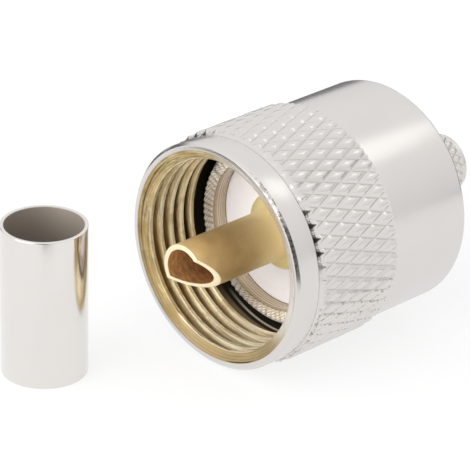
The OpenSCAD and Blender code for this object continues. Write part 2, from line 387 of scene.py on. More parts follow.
def thread_tree():
    """One right-hand V thread, cut from the crests down to the roots, with the mouth's countersink."""
    tree, entry, spot, angle = cutting_tree("internal_thread", [
        ("Pitch", "NodeSocketFloat", 1.058 * MM),
        ("Start", "NodeSocketFloat", 0.0),
        ("Crest radius", "NodeSocketFloat", 7.365 * MM),
        ("Root radius", "NodeSocketFloat", 7.9375 * MM),
        ("Mouth radius", "NodeSocketFloat", 8.08 * MM),
        ("Mouth", "NodeSocketFloat", -5.8 * MM),
        ("Mouth slope", "NodeSocketFloat", 2.2),
    ])
    climb = calc(tree, "DIVIDE", calc(tree, "SUBTRACT", spot["Y"], entry["Start"]), entry["Pitch"])
    turns = calc(tree, "ADD", climb, calc(tree, "DIVIDE", angle, TURN))
    half_crest, half_root = 1 / 8, 1 / 16
    from_crest = calc(tree, "PINGPONG", calc(tree, "SUBTRACT", turns, half_crest), 0.5)
    depth = calc(tree, "SUBTRACT", entry["Root radius"], entry["Crest radius"])
    rise = ramp(tree, from_crest, half_crest, 0.5 - half_root)
    cut_r = calc(tree, "MULTIPLY_ADD", rise, depth, entry["Crest radius"])
    fall = calc(tree, "MULTIPLY", calc(tree, "SUBTRACT", spot["Y"], entry["Mouth"]), entry["Mouth slope"])
    cone_r = calc(tree, "SUBTRACT", entry["Mouth radius"], fall)
    wanted = calc(tree, "MAXIMUM", cut_r, cone_r)
    now = calc(tree, "SQRT", calc(tree, "ADD", calc(tree, "POWER", spot["X"], 2.0), calc(tree, "POWER", spot["Z"], 2.0)))
    return close_tree(tree, entry, "thread", outward(tree, spot, calc(tree, "SUBTRACT", wanted, now)))


def serration_tree():
    """Radial V serrations in the nose ring's face, and its two raised arcs."""
    tree, entry, spot, angle = cutting_tree("nose_serrations", [
        ("Teeth", "NodeSocketInt", 84),
        ("Depth", "NodeSocketFloat", 0.15 * MM),
        ("Arc rise", "NodeSocketFloat", 0.25 * MM),
        ("Arc angle", "NodeSocketFloat", math.radians(60)),
    ])
    tooth = calc(tree, "PINGPONG", calc(tree, "DIVIDE", calc(tree, "MULTIPLY", angle, entry["Teeth"]), TURN), 0.5)
    sink = calc(tree, "MULTIPLY", calc(tree, "MULTIPLY", tooth, 2.0), entry["Depth"])
    off_arc = calc(tree, "MULTIPLY", calc(tree, "PINGPONG", calc(tree, "DIVIDE", angle, math.pi), 0.5), TURN)
    on_arc = calc(tree, "LESS_THAN", off_arc, entry["Arc angle"])
    rise = calc(tree, "MULTIPLY", on_arc, entry["Arc rise"])
    shift = add(tree, "ShaderNodeCombineXYZ", {"Y": calc(tree, "SUBTRACT", sink, rise)}).outputs[0]
    return close_tree(tree, entry, "serrated", shift)


def cut(mesh, jobs, finish):
    """The blank after each cutting tree with its sizes, as a plain mesh."""
    blank = bpy.data.objects.new("blank", mesh)
    bpy.context.scene.collection.objects.link(blank)
    for tree, values in jobs:
        modifier = blank.modifiers.new(tree.name, "NODES")
        modifier.node_group = tree
        for socket in tree.interface.items_tree:
            if socket.in_out == "INPUT" and socket.name in values:
                modifier[socket.identifier] = values[socket.name]
            elif socket.in_out == "INPUT" and socket.name == "Finish":
                modifier[socket.identifier] = finish
    seen = blank.evaluated_get(bpy.context.evaluated_depsgraph_get())
    made = bpy.data.meshes.new_from_object(seen)
    bpy.data.objects.remove(blank)
    return made


# Shader groups

def lathe_marks_group():
    """Fine rings that a lathe leaves round the Y axis, and a light grain. Scales are per metre."""
    tree = bpy.data.node_groups.new("lathe_marks", "ShaderNodeTree")
    face = tree.interface
    face.new_socket("Vector", in_out="INPUT", socket_type="NodeSocketVector")
    for label, value in (("Lines", 9000.0), ("Grain", 6000.0)):
        face.new_socket(label, in_out="INPUT", socket_type="NodeSocketFloat").default_value = value
    for label in ("Marks", "Speckle"):
        face.new_socket(label, in_out="OUTPUT", socket_type="NodeSocketFloat")
    entry = tree.nodes.new("NodeGroupInput").outputs
    spot = add(tree, "ShaderNodeSeparateXYZ", {0: entry["Vector"]}).outputs
    squares = [calc(tree, "POWER", spot[axis], 2.0) for axis in ("X", "Z")]
    radius = calc(tree, "SQRT", calc(tree, "ADD", *squares))
    path = calc(tree, "ADD", spot["Y"], radius)
    lines = add(tree, "ShaderNodeTexNoise", {"W": calc(tree, "MULTIPLY", path, entry["Lines"]), "Scale": 1.0,
                "Detail": 3.0, "Roughness": 0.65}, noise_dimensions="1D")
    speckle = add(tree, "ShaderNodeTexNoise", {"Vector": entry["Vector"], "Scale": entry["Grain"], "Detail": 2.0})
    leave = tree.nodes.new("NodeGroupOutput").inputs
    tree.links.new(lines.outputs[0], leave["Marks"])
    tree.links.new(speckle.outputs[0], leave["Speckle"])
    return tree


def patina_group():
    """Colour that wanders between two plating tints in soft patches."""
    tree = bpy.data.node_groups.new("plating_patina", "ShaderNodeTree")
    face = tree.interface
    face.new_socket("Vector", in_out="INPUT", socket_type="NodeSocketVector")
    face.new_socket("Patches", in_out="INPUT", socket_type="NodeSocketFloat").default_value = 300.0
    face.new_socket("Amount", in_out="INPUT", socket_type="NodeSocketFloat").default_value = 0.5
    for label in ("Plate", "Tint"):
        face.new_socket(label, in_out="INPUT", socket_type="NodeSocketColor")
    face.new_socket("Color", in_out="OUTPUT", socket_type="NodeSocketColor")
    entry = tree.nodes.new("NodeGroupInput").outputs
    noise = add(tree, "ShaderNodeTexNoise", {"Vector": entry["Vector"], "Scale": entry["Patches"], "Detail": 4.0})
    share = calc(tree, "MULTIPLY", ramp(tree, noise.outputs[0], 0.35, 0.7), entry["Amount"])
    blend = mixed(tree, share, entry["Plate"], entry["Tint"])
    tree.links.new(blend, tree.nodes.new("NodeGroupOutput").inputs[0])
    return tree


def mixed(tree, share, a, b):
    """Colour a to colour b by share."""
    node = add(tree, "ShaderNodeMix", data_type="RGBA")
    put(tree, node.inputs[0], share)
    put(tree, node.inputs[6], a)
    put(tree, node.inputs[7], b)
    return node.outputs[2]


def rgba(values, dim=1.0):
    return (values[0] * dim, values[1] * dim, values[2] * dim, 1.0)


class Finish:
    """A material under way: its Principled BSDF, its coat so far, and object coordinates centred on the piece."""

    def __init__(self, name, centre=(0, 0, 0), upright=False, **constants):
        self.material = bpy.data.materials.new(name)
        self.material.use_nodes = True
        self.tree = self.material.node_tree
        self.shader = self.tree.nodes["Principled BSDF"]
        for key, value in constants.items():
            self.shader.inputs[key.replace("_", " ")].default_value = value
        spot = add(self.tree, "ShaderNodeTexCoord").outputs["Object"]
        if upright:
            moved = add(self.tree, "ShaderNodeMapping", {"Vector": spot, "Location": tuple(-c for c in centre)})
            turned = add(self.tree, "ShaderNodeMapping", {"Vector": moved.outputs[0], "Rotation": (-math.pi / 2, 0, 0)})
            spot = turned.outputs[0]
        self.spot = spot
        xyz = add(self.tree, "ShaderNodeSeparateXYZ", {0: spot}).outputs
        squares = [calc(self.tree, "POWER", xyz[axis], 2.0) for axis in ("X", "Z")]
        self.along = {"X": xyz["X"], "Y": xyz["Y"], "Z": xyz["Z"],
                      "radius": calc(self.tree, "SQRT", calc(self.tree, "ADD", *squares)),
                      "angle": calc(self.tree, "ARCTAN2", xyz["Z"], xyz["X"])}
        self.coat = None

    def group(self, tree, **inputs):
        node = add(self.tree, "ShaderNodeGroup", node_tree=tree)
        put(self.tree, node.inputs["Vector"], self.spot)
        for key, value in inputs.items():
            put(self.tree, node.inputs[key], value)
        return node.outputs

    def noise(self, scale, roughness=0.5, stretch=(1.0, 1.0, 1.0)):
        drawn = add(self.tree, "ShaderNodeMapping", {"Vector": self.spot, "Scale": stretch}).outputs[0]
        inputs = {"Vector": drawn, "Scale": scale, "Detail": 4.0, "Roughness": roughness}
        return add(self.tree, "ShaderNodeTexNoise", inputs).outputs[0]

    def fade(self, where, low, high, to_low=0.0, to_high=1.0):
        """A mask along X, Y, Z, the radius or the angle."""
        return ramp(self.tree, self.along[where], low, high, to_low, to_high)

    def between(self, where, low, high, edge):
        """1 where that place lies between low and high, with soft ends edge wide."""
        return self.overlap(self.fade(where, low - edge, low + edge), self.fade(where, high - edge, high + edge, 1.0, 0.0))

    def overlap(self, *masks):
        share = masks[0]
        for mask in masks[1:]:
            share = calc(self.tree, "MULTIPLY", share, mask)
        return share

    def paint(self, colour, *masks):
        """Lays a colour on the coat where all the masks are."""
        self.coat = mixed(self.tree, self.overlap(*masks), self.coat, colour)

    def bump(self, height, strength, distance):
        node = add(self.tree, "ShaderNodeBump", {"Strength": strength, "Distance": distance, "Height": height})
        self.tree.links.new(node.outputs[0], self.shader.inputs["Normal"])

    def set(self, **links):
        put(self.tree, self.shader.inputs["Base Color"], self.coat)
        for key, value in links.items():
            put(self.tree, self.shader.inputs[key], value)
        return self.material


# Finishes

def gilt_thread(own, groups, colours, nut, rings):
    """Thin gilt plating in the mouth and the thread, with worn crests and dirt, painted shade in its valleys, its deep
    relief and under the rim, and painted highlights on its crests and lower side. Gives the relief's mask.
    """
    tree = own.tree
    inside = own.overlap(own.fade("radius", nut.mouth_r - 0.03 * MM, nut.mouth_r + 0.02 * MM, 1.0, 0.0),
                         own.fade("Y", nut.shoulder + 0.1 * MM, nut.shoulder + 0.5 * MM, 1.0, 0.0))
    cone = own.fade("Y", nut.front + 0.5 * MM, nut.front + 0.9 * MM, 1.0, 0.0)
    behind_cone = calc(tree, "SUBTRACT", 1.0, cone)
    bare = own.overlap(cone, own.fade("X", -1.0 * MM, 3.0 * MM), own.fade("Z", -5.5 * MM, -1.5 * MM))
    gilded = own.overlap(inside, calc(tree, "SUBTRACT", 1.0, bare))
    gilt = own.group(groups["patina"], Patches=380.0, Amount=1.0,
                     Plate=rgba(colours.gold), Tint=rgba(colours.old_gold))[0]
    own.paint(gilt, gilded)
    own.paint(rgba(colours.nickel, 1.35), inside, bare)
    streak_noise = own.noise(700.0, 0.6, (1.0, 12.0, 1.0))
    own.paint(rgba(colours.tarnish_and_shade, 0.8), gilded, ramp(tree, streak_noise, 0.50, 0.65, 0.0, 0.85))
    floor_side = own.fade("Z", -7.5 * MM, -4.5 * MM, 0.5, 0.0)
    # Darker towards the bottom of the mouth's cone.
    own.paint(rgba(colours.tarnish_and_shade, 1.3), gilded, own.fade("Z", -7.5 * MM, -4.0 * MM, 0.75, 0.0), cone)
    # Painted shade in the thread's roots at the cone, patchy.
    own.paint(rgba(colours.tarnish_and_shade, 0.7), gilded, cone, own.between("radius", nut.root_r - 0.03 * MM, nut.root_r + 0.04 * MM, 0.02 * MM),
              ramp(tree, streak_noise, 0.35, 0.55, 0.9, 0.4))
    # Painted light: the lower side of the thread inside is made lighter.
    own.paint(rgba(colours.crest_wear_and_highlight), inside, floor_side, behind_cone)
    own.paint(rgba(colours.tarnish_and_shade), gilded, ramp(tree, rings, 0.5, 0.6, 0.0, 0.6))
    # Painted light lines along the turning marks on the lower side.
    own.paint(rgba(colours.crest_wear_and_highlight), inside, floor_side, ramp(tree, rings, 0.36, 0.43, 1.6, 0.0))
    # Worn crests with painted highlights along them.
    crest = own.fade("radius", nut.crest_r + 0.02 * MM, nut.crest_r + 0.12 * MM, 0.75, 0.0)
    own.paint(rgba(colours.crest_wear_and_highlight), inside, crest, ramp(tree, rings, 0.35, 0.5))
    patches = own.noise(520.0, 0.7, (1.0, 1.6, 1.0))
    own.paint(rgba(colours.old_gold, 0.8), gilded, ramp(tree, patches, 0.5, 0.6, 0.0, 0.5), own.fade("X", -3.0 * MM, 1.0 * MM, 1.0, 0.4))
    # Painted shade on the thread's right lower side.
    own.paint(rgba(colours.tarnish_and_shade, 0.9), gilded, own.between("X", 4.4 * MM, 7.2 * MM, 0.6 * MM), own.fade("Z", -4.8 * MM, -3.6 * MM, 0.65, 0.0))
    flank = nut.root_r - nut.crest_r
    past_mouth = own.fade("Y", nut.front + 0.5 * MM, nut.front + 1.0 * MM)
    # Painted shade: the thread darker towards its roots.
    own.paint(rgba(colours.tarnish_and_shade), inside, past_mouth, own.fade("radius", nut.crest_r + 0.3 * flank, nut.root_r, 0.0, 0.8))
    # Painted shade: dark valleys on the thread's left side, near the relief.
    own.paint(rgba(colours.grime_and_shade), inside, own.fade("radius", nut.crest_r + 0.35 * flank, nut.crest_r + 0.7 * flank),
              own.fade("Y", -4.5 * MM, -1.5 * MM, 0.0, 0.85), own.fade("X", -6.5 * MM, -4.0 * MM, 1.0, 0.0))
    # Painted shadow under the rim's edge at the bottom right of the mouth.
    own.paint(rgba(colours.grime_and_shade), inside, own.between("radius", nut.mouth_r - 0.12 * MM, nut.mouth_r - 0.03 * MM, 0.02 * MM),
              own.between("X", 1.7 * MM, 4.2 * MM, 0.4 * MM), own.fade("Z", -6.8 * MM, -6.0 * MM, 0.9, 0.0))
    relief = own.overlap(inside, own.between("Y", nut.thread_rear + 0.02 * MM, nut.shoulder, 0.01 * MM))
    # Painted shade, with some dirt, blackens the deep relief, except its end at the bottom.
    unshaded_end = own.overlap(own.fade("Z", -7.5 * MM, -5.5 * MM, 1.0, 0.0),
                            own.fade("Y", nut.thread_rear + 0.95 * MM, nut.thread_rear + 1.05 * MM, 0.9, 0.0))
    own.paint(rgba(colours.grime_and_shade), relief, calc(tree, "SUBTRACT", 1.0, unshaded_end), ramp(tree, rings, 0.55, 0.65, 1.0, 0.8))
    # A painted highlight line across the relief at the bottom.
    painted_highlight_line = own.overlap(own.between("Y", 0.62 * MM, 0.86 * MM, 0.03 * MM), own.fade("Z", -7.8 * MM, -6.5 * MM, 1.0, 0.0))
    own.paint(rgba(colours.crest_wear_and_highlight), relief, painted_highlight_line)
    return inside, relief


def edge_dirt_and_shade(own, colours, nut, rings):
    """Nicks and a painted dark reflection on the rim's chamfer, and painted shade, dirt and painted dark reflections at
    the knurl's front end.
    """
    tree = own.tree
    knurl_front = nut.front + nut.band_len
    spotty_noise = own.noise(3000.0, 0.7)
    # Nicks, and a painted dark reflection, on the rim's chamfer at the right.
    own.paint(rgba(colours.tarnish_and_shade, 0.3), ramp(tree, spotty_noise, 0.47, 0.53, 0.0, 0.9), ramp(tree, rings, 0.42, 0.55, 0.2, 1.0),
              own.between("radius", nut.band_r - nut.rim_chamfer, nut.band_r, 0.02 * MM),
              own.fade("Y", nut.front + 0.2 * MM, nut.front + 0.25 * MM, 1.0, 0.0),
              own.fade("X", 3.0 * MM, 5.0 * MM), own.fade("Z", 0.5 * MM, 2.5 * MM))
    # Painted shade and dirt in the corner between the band and the knurl.
    own.paint(rgba(colours.tarnish_and_shade, 0.5), ramp(tree, spotty_noise, 0.35, 0.5, 0.3, 0.9),
              own.between("Y", knurl_front - 0.05 * MM, knurl_front + 0.03 * MM, 0.02 * MM),
              own.fade("radius", nut.band_r - 0.02 * MM, nut.band_r), own.fade("X", -2.0 * MM, 3.0 * MM))
    # Painted shade: dark wedges on the chamfered ends of the knurl's points, on its shaded sides.
    off_ridge = calc(tree, "PINGPONG", calc(tree, "MULTIPLY_ADD", own.along["angle"], nut.knurl_starts / TURN, 0.5), 0.5)
    wedge = calc(tree, "ADD", off_ridge, own.fade("Y", knurl_front, knurl_front + 0.5 * MM, 0.0, 0.35))
    shaded = calc(tree, "MAXIMUM", own.overlap(own.between("X", -5.6 * MM, -2.8 * MM, 0.3 * MM), own.fade("Z", 5.0 * MM, 6.0 * MM)),
                  own.overlap(own.fade("X", 5.5 * MM, 6.5 * MM), own.between("Z", 2.1 * MM, 6.0 * MM, 0.2 * MM)))
    own.paint(rgba(colours.tarnish_and_shade, 0.25), shaded, ramp(tree, wedge, 0.24, 0.34, 0.9, 0.0),
              own.between("Y", knurl_front, knurl_front + 0.5 * MM, 0.02 * MM))
    # A painted dark reflection on the band beside the knurl, at the upper left.
    own.paint(rgba(colours.tarnish_and_shade, 0.5), own.between("X", -5.2 * MM, -2.8 * MM, 0.4 * MM), own.fade("Z", 5.0 * MM, 6.0 * MM),
              own.between("Y", knurl_front - 0.5 * MM, knurl_front, 0.15 * MM), ramp(tree, spotty_noise, 0.45, 0.6, 0.0, 0.6))
    own.paint(rgba(colours.tarnish_and_shade, 0.5), ramp(tree, spotty_noise, 0.5, 0.56, 0.0, 0.7), own.fade("Z", -3.0 * MM, -1.0 * MM, 1.0, 0.0),
              own.between("Y", knurl_front + 0.2 * MM, knurl_front + nut.knurl_len, 0.05 * MM),
              own.between("radius", nut.band_r + 0.03 * MM, nut.knurl_r - 0.14 * MM, 0.03 * MM))


def nut_finish(groups, colours, nut):
    """Nickel plate: satin outside, gilt where it is thin in the thread, with dirt and painted shade in its corners and
    painted highlights in the thread.
    """
    own = Finish("nut_nickel", Metallic=1.0)
    tree = own.tree
    own.coat = own.group(groups["patina"], Patches=180.0, Amount=0.5,
                         Plate=rgba(colours.nickel), Tint=rgba(colours.nickel, 0.95))[0]
    marks = own.group(groups["marks"], Lines=9000.0, Grain=9000.0)
    inside, relief = gilt_thread(own, groups, colours, nut, marks["Marks"])
    edge_dirt_and_shade(own, colours, nut, marks["Marks"])
    rough = calc(tree, "MULTIPLY_ADD", inside, 0.17, ramp(tree, marks["Marks"], 0.3, 0.7, 0.20, 0.27))
    worn = own.fade("radius", nut.band_r + 0.03 * MM, nut.band_r + 0.08 * MM, 0.0, 15.0)
    turned = calc(tree, "MULTIPLY", marks["Marks"], ramp(tree, inside, 0.0, 1.0, 0.2, 2.0))
    height = calc(tree, "MULTIPLY_ADD", marks["Speckle"], 0.35, turned)
    own.bump(calc(tree, "MULTIPLY_ADD", own.noise(1600.0), worn, height), 0.2, 0.004 * MM)
    return own.set(Roughness=rough, Metallic=ramp(tree, relief, 0.0, 1.0, 1.0, 0.1))


def body_finish(groups, colours, body):
    """Nickel plate on the body, brownish round the nose ring, with a painted highlight on the ring's top and painted
    shade in its serrations and at its bore.
    """
    own = Finish("body_nickel", Metallic=1.0)
    tree = own.tree
    own.coat = own.group(groups["patina"], Patches=600.0, Amount=0.5,
                         Plate=rgba(colours.body_nickel), Tint=rgba(colours.body_nickel, 0.9))[0]
    stained = own.group(groups["patina"], Patches=350.0, Amount=0.5,
                        Plate=rgba(colours.body_nickel, 1.25), Tint=rgba(colours.tarnish_and_shade, 1.6))[0]
    nose = own.fade("Y", body.ring_rise, body.flange_rear, 1.0, 0.0)
    own.paint(stained, nose)
    # A painted highlight: the nose ring lighter on its top.
    own.paint(rgba(colours.body_nickel, 1.3), nose, own.fade("Z", 0.5 * MM, 3.0 * MM))
    tooth = calc(tree, "PINGPONG", calc(tree, "MULTIPLY", own.along["angle"], body.teeth / TURN), 0.5)
    # Painted shade in the serrations' valleys, patchy.
    own.paint(rgba(colours.tarnish_and_shade, 0.8), ramp(tree, tooth, 0.25, 0.48, 0.0, 0.8), ramp(tree, own.noise(1500.0), 0.35, 0.6),
              own.fade("Y", body.ring_rise - 0.05 * MM, body.ring_rise, 1.0, 0.0))
    # Painted shade at the ring's bore and inner edge, beside the insulator.
    own.paint(rgba(colours.tarnish_and_shade, 1.2), own.fade("radius", body.ring_inner_r + 0.01 * MM, body.ring_inner_r + 0.05 * MM, 0.6, 0.0),
              own.between("Y", -0.1 * MM, body.head_rear, 0.05 * MM))
    own.paint(rgba(colours.tarnish_and_shade), own.fade("radius", body.ring_inner_r + 0.05 * MM, body.ring_inner_r + 0.16 * MM, 0.8, 0.0),
              own.between("Y", -0.1 * MM, 0.25 * MM, 0.05 * MM))
    marks = own.group(groups["marks"], Lines=8000.0, Grain=7000.0)
    turned = calc(tree, "MULTIPLY", marks["Marks"], ramp(tree, nose, 0.0, 1.0, 1.0, 0.3))
    own.bump(calc(tree, "MULTIPLY_ADD", marks["Speckle"], 0.6, turned), 0.3, 0.006 * MM)
    return own.set(Metallic=ramp(tree, nose, 0.0, 1.0, 1.0, 0.5), Roughness=ramp(tree, marks["Marks"], 0.3, 0.7, 0.2, 0.32))


def contact_finish(groups, colours, contact):
    """Turned brass, with the drilled hollow darker and redder, and painted light on the pin's foot and disc."""
    own = Finish("contact_brass", Metallic=1.0)
    tree = own.tree
    own.coat = own.group(groups["patina"], Patches=700.0, Amount=1.0,
                         Plate=rgba(colours.brass), Tint=rgba(colours.old_brass))[0]
    # Painted light: brighter brass on the pin's foot and disc.
    own.paint(rgba(colours.lit_foot_brass), calc(tree, "MAXIMUM", own.fade("radius", contact.pin_r + 0.05 * MM, contact.pin_r + 0.15 * MM),
                                           own.fade("Y", contact.tip + 4.0 * MM, contact.face - 0.5 * MM)))
    toward_cut = calc(tree, "MULTIPLY_ADD", own.along["X"], math.cos(contact.cut_turn),
                      calc(tree, "MULTIPLY", own.along["Z"], math.sin(contact.cut_turn)))
    plane = calc(tree, "MULTIPLY_ADD", toward_cut, 1 / math.tan(contact.cut_angle), contact.tip + contact.tip_flat)
    behind = calc(tree, "SUBTRACT", own.along["Y"], calc(tree, "MAXIMUM", plane, contact.tip))
    own.paint(rgba(colours.bare_rim), ramp(tree, behind, 0.02 * MM, 0.06 * MM, 1.0, 0.0))
    around = add(tree, "ShaderNodeCombineXYZ", {"X": calc(tree, "MULTIPLY", own.along["angle"], 3.0),
                 "Y": calc(tree, "MULTIPLY", own.along["Y"], 3500.0)}).outputs[0]
    drill_marks = add(tree, "ShaderNodeTexNoise", {"Vector": around, "Scale": 1.0, "Detail": 3.0}).outputs[0]
    drilled = mixed(tree, ramp(tree, drill_marks, 0.35, 0.65), rgba(colours.copper, 0.5), rgba(colours.copper, 0.85))
    inside = own.fade("radius", contact.bore_r + 0.005 * MM, contact.bore_r + 0.03 * MM, 1.0, 0.0)
    own.paint(drilled, inside)
    marks = own.group(groups["marks"], Lines=7000.0, Grain=8000.0)
    own.bump(calc(tree, "MULTIPLY_ADD", marks["Speckle"], 0.5, marks["Marks"]), 0.3, 0.005 * MM)
    return own.set(Metallic=ramp(tree, inside, 0.0, 1.0, 0.75, 0.5), Roughness=ramp(tree, marks["Marks"], 0.3, 0.7, 0.4, 0.5))


def ptfe_finish(groups, colours):
    """White PTFE, matt with a faint sheen and turning rings."""
    own = Finish("white_ptfe", IOR=1.35)
    own.coat = own.group(groups["patina"], Patches=700.0, Amount=0.6,
                         Plate=rgba(colours.ptfe), Tint=rgba(colours.ptfe, 0.94))[0]
    marks = own.group(groups["marks"], Lines=5000.0, Grain=5000.0)
    own.bump(marks["Marks"], 0.25, 0.01 * MM)
    return own.set(Roughness=ramp(own.tree, marks["Speckle"], 0.3, 0.7, 0.45, 0.6))


def ferrule_finish(groups, colours, ferrule):
    """Bright nickel plate outside, thin and dark inside the tube."""
    own = Finish("ferrule_nickel", centre=(ferrule.x, ferrule.y, 0), upright=True, Metallic=1.0)
    own.coat = own.group(groups["patina"], Patches=200.0, Amount=0.5,
                         Plate=rgba(colours.nickel, 1.1), Tint=rgba(colours.nickel, 1.05))[0]
    inside = own.fade("radius", ferrule.inner_r + 0.01 * MM, ferrule.inner_r + 0.05 * MM, 1.0, 0.0)
    own.paint(rgba(colours.dark_plate), inside)
    marks = own.group(groups["marks"], Lines=6000.0, Grain=5000.0)
    own.bump(marks["Marks"], 0.08, 0.002 * MM)
    rough = calc(own.tree, "MULTIPLY_ADD", inside, 0.35, ramp(own.tree, marks["Speckle"], 0.3, 0.7, 0.12, 0.17))
    return own.set(Metallic=ramp(own.tree, inside, 0.0, 1.0, 1.0, 0.4), Roughness=rough)


def made_once(name, maker):
    """A node group that is built the first time it is asked for."""
    return bpy.data.node_groups.get(name) or maker()


def shader_groups():
    return {"marks": made_once("lathe_marks", lathe_marks_group), "patina": made_once("plating_patina", patina_group)}


# Pieces

def knurl_start_r(nut):
    """Radius where the 45 degree chamfer of the knurl's front end starts, two mesh rows before its points."""
    return nut.knurl_r - 2 * nut.knurl_len / nut.knurl_rows


def nut_blank(nut):
    """The nut before its knurl and thread are cut: a lathe profile outside, and slanted rows inside the mouth."""
    per_groove = 12
    shell = Shell(nut.knurl_starts * per_groove)
    knurl_front = nut.front + nut.band_len
    knurl_rear = knurl_front + nut.knurl_len
    edge = 0.03 * MM
    front = eased([(nut.mouth_r, nut.front, 0), (nut.band_r - nut.rim_chamfer, nut.front, edge),
                   (nut.band_r, nut.front + nut.rim_chamfer, edge), (nut.band_r, knurl_front, edge),
                   (knurl_start_r(nut), knurl_front, 0)], 0)
    rings = [shell.ring(r, y) for r, y in front]
    first = rings[0]
    for a, b in zip(rings, rings[1:]):
        shell.strip(a, b)
    row = nut.knurl_len / nut.knurl_rows
    before = rings[-1]
    for i in range(nut.knurl_rows + 1):
        here = shell.ring(nut.knurl_r, knurl_front + i * row, "knurl")
        if i == 0:
            shell.strip(before, here)
        else:
            def slant(j, i=i):
                s, t = (i - 0.5 + j + 0.5) / per_groove, (j + 0.5 - i + 0.5) / per_groove
                return abs(s - round(s)) < abs(t - round(t))
            shell.strip(before, here, slant)
        before = here
    fillet = [(nut.rear_r - nut.rear_round * (1 - math.cos(a)), nut.rear - nut.rear_round * (1 - math.sin(a)))
              for a in (math.pi / 2 * k / 6 for k in range(7))]
    back = [(nut.rear_r, knurl_rear), (nut.rear_r, knurl_rear + 0.1 * MM)] + fillet + eased([
        (nut.bore_r + 0.3 * MM, nut.rear, 0.02 * MM), (nut.bore_r, nut.rear - 0.3 * MM, 0.02 * MM),
        (nut.bore_r, nut.shoulder, 0.02 * MM), (nut.relief_r, nut.shoulder, 0.1 * MM),
        (nut.relief_r, nut.thread_rear, 0)], 0)
    for r, y in back:
        here = shell.ring(r, y)
        shell.strip(before, here)
        before = here
    last = shell.ring(nut.crest_r, nut.thread_rear, "thread")
    shell.strip(before, last)
    thread_rows(shell, nut, first, last)
    return shell.mesh("nut_blank")


def thread_rows(shell, nut, first, last):
    """Rows that follow the right-hand helix between two rings, with every crest and root edge on a row."""
    per_pitch = 16
    step = nut.pitch / per_pitch
    rows = math.ceil((nut.thread_rear - nut.front) / step) + per_pitch + 1
    made = {}

    def corner(k, j):
        if j == shell.columns:
            k, j = k - per_pitch, 0
        y = nut.front + k * step - nut.pitch * j / shell.columns
        if y <= nut.front + 1e-9:
            return first[j]
        if y >= nut.thread_rear - 1e-9:
            return last[j]
        if (k, j) not in made:
            made[k, j] = shell.vertex(nut.crest_r, y, j, "thread")
        return made[k, j]

    for k in range(rows):
        for j in range(shell.columns):
            shell.face(corner(k, j), corner(k, j + 1), corner(k + 1, j + 1), corner(k + 1, j))


class CRIMPPLUG_OT_coupling_nut(bpy.types.Operator):
    """Build the knurled and threaded coupling nut"""
    bl_idname = "crimp_plug.coupling_nut"
    bl_label = "Coupling nut"

    def execute(self, context):
        nut = context.scene.crimp_nut
        finish = nut_finish(shader_groups(), context.scene.crimp_colours, nut)
        per_groove = 12
        knurl = {"Starts": nut.knurl_starts, "Axial pitch": per_groove * nut.knurl_len / nut.knurl_rows,
                 "Front": nut.front + nut.band_len, "Depth": nut.knurl_depth, "Groove share": nut.groove_share,
                 "Point radius": nut.knurl_r, "Start radius": knurl_start_r(nut)}
        thread = {"Pitch": nut.pitch, "Start": nut.front, "Crest radius": nut.crest_r,
                  "Root radius": nut.root_r, "Mouth radius": nut.mouth_r, "Mouth": nut.front}
        mesh = cut(nut_blank(nut), [(made_once("diamond_knurl", diamond_knurl_tree), knurl),
                                    (made_once("internal_thread", thread_tree), thread)], finish)
        made = piece("coupling_nut_turned", mesh)
        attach(made, "nut")
        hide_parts("coupling_nut")
        return {"FINISHED"}


def body_head(body):
    """Nose ring, flange and shank, with the ring's face marked for its serrations."""
    shell = Shell(body.teeth * 8)
    edge = 0.03 * MM
    deep = body.head_rear
    outside = [(body.ring_outer_r, 0.0, "serrated"), (body.ring_outer_r, body.ring_rise, None)]
    outside += [(r, y, None) for r, y in eased([
        (body.flange_r, body.ring_rise, 0.1 * MM), (body.flange_r, body.flange_rear, 0.1 * MM),
        (body.shank_r, body.flange_rear, edge), (body.shank_r, body.shank_rear, 0.3 * MM),
        (body.barrel_bore_r, body.shank_rear, edge), (body.barrel_bore_r, body.cavity_rear, edge),
        (body.cavity_r, body.cavity_rear, edge), (body.cavity_r, body.insulator_rear, edge),
        (body.neck_bore_r, body.insulator_rear, edge), (body.neck_bore_r, deep, edge),
        (body.ring_inner_r, deep, edge)], 0)]
    face = [(body.ring_inner_r + (body.ring_outer_r - body.ring_inner_r) * k / 4, 0.0, "serrated") for k in range(4)]
    rings = [shell.ring(*spot) for spot in outside + face]
    for a, b in zip(rings, rings[1:] + rings[:1]):
        shell.strip(a, b)
    return shell.mesh("body_head")


def barrel_blank(body):
    """The crimp barrel before its knurl is cut."""
    shell = Shell(body.barrel_starts * 12)
    inner, core = body.barrel_bore_r, body.barrel_r - body.barrel_depth - 0.06 * MM
    front, rear = body.shank_rear + 0.9 * MM, body.barrel_rear - 0.5 * MM
    rows, edge = 60, 0.06 * MM
    rings = [shell.ring(r, y) for r, y in ((inner, body.shank_rear - 0.5 * MM), (core, body.shank_rear - 0.5 * MM), (core, front))]
    for k in range(rows + 1):
        rings.append(shell.ring(body.barrel_r, front + (rear - front) * k / rows, "knurl"))
    tail = eased([(core, rear, 0), (core, body.barrel_rear, edge), (inner, body.barrel_rear, edge), (inner, rear, 0)], 0)
    rings += [shell.ring(r, y) for r, y in tail]
    for a, b in zip(rings, rings[1:] + rings[:1]):
        shell.strip(a, b)
    return shell.mesh("barrel_blank"), front, (rear - front) / rows


